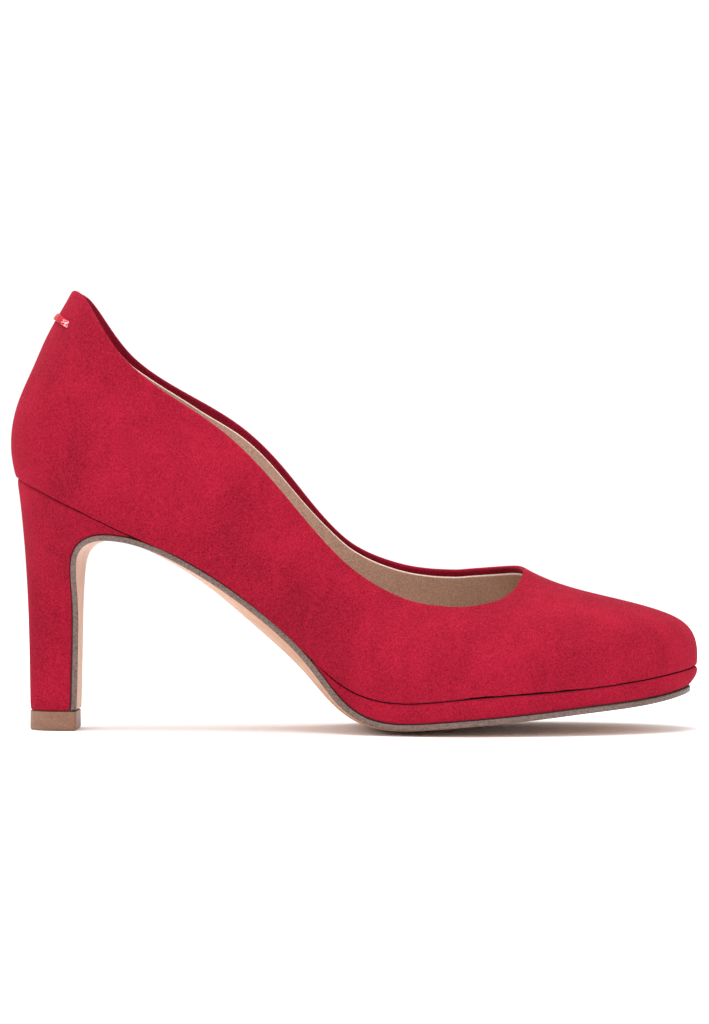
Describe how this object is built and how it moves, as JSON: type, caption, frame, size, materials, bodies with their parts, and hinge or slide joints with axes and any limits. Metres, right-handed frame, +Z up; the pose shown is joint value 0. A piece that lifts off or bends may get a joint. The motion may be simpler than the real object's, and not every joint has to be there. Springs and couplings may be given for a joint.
{
  "type": "high heel pump",
  "caption": "Right-foot pump with a wavy topline, a covered high heel, a low covered platform under the forefoot and a rounded toe.",
  "frame": {"origin": "on the ground, under the middle of the shoe's length and width", "axes": "+X from heel to toe, +Y to the inner (medial) side of the foot, +Z up"},
  "size_m": [0.2311, 0.0777, 0.1477],
  "materials": {
    "suede_red": "brushed suede nap, deep red",
    "patent_red": "glossy patent, red",
    "counter_board": "matt fibre sheet",
    "interlining": "woven cotton",
    "lining_leather": "matt, fine grain, beige",
    "insock_leather": "matt, fine grain, padded",
    "foam": "open cell foam",
    "insole_fibre": "matt fibre board",
    "shank_fibre": "hard fibre board",
    "felt": "pressed felt",
    "spring_steel": "blued spring steel",
    "rivet_steel": "plain",
    "platform_plastic": "moulded",
    "outsole_tan": "leather-look, satin, painted edge",
    "heel_plastic": "moulded",
    "pin_steel": "ground",
    "top_piece_rubber": "satin, hard",
    "screw_steel": "plain"
  },
  "bodies": {
    "root": {"upper": "suede_red", "back_tab": "patent_red", "heel_counter": "counter_board", "interlining_lateral": "interlining", "interlining_medial": "interlining", "toe_puff": "counter_board", "quarter_lining": "lining_leather", "vamp_lining": "lining_leather", "insock": "insock_leather", "insock_foam": "foam", "insole_board": "insole_fibre", "shank_board": "shank_fibre", "bottom_filler": "felt", "waist_filler": "felt", "shank_steel": "spring_steel", "shank_rivets": "rivet_steel", "platform_core": "platform_plastic", "platform_cover": "suede_red", "outsole": "outsole_tan", "heel_core": "heel_plastic", "heel_cover": "suede_red", "heel_pin": "pin_steel", "top_piece": "top_piece_rubber", "top_piece_dowel": "pin_steel", "heel_screw": "screw_steel", "heel_nails": "screw_steel"}
  },
  "joints": []
}
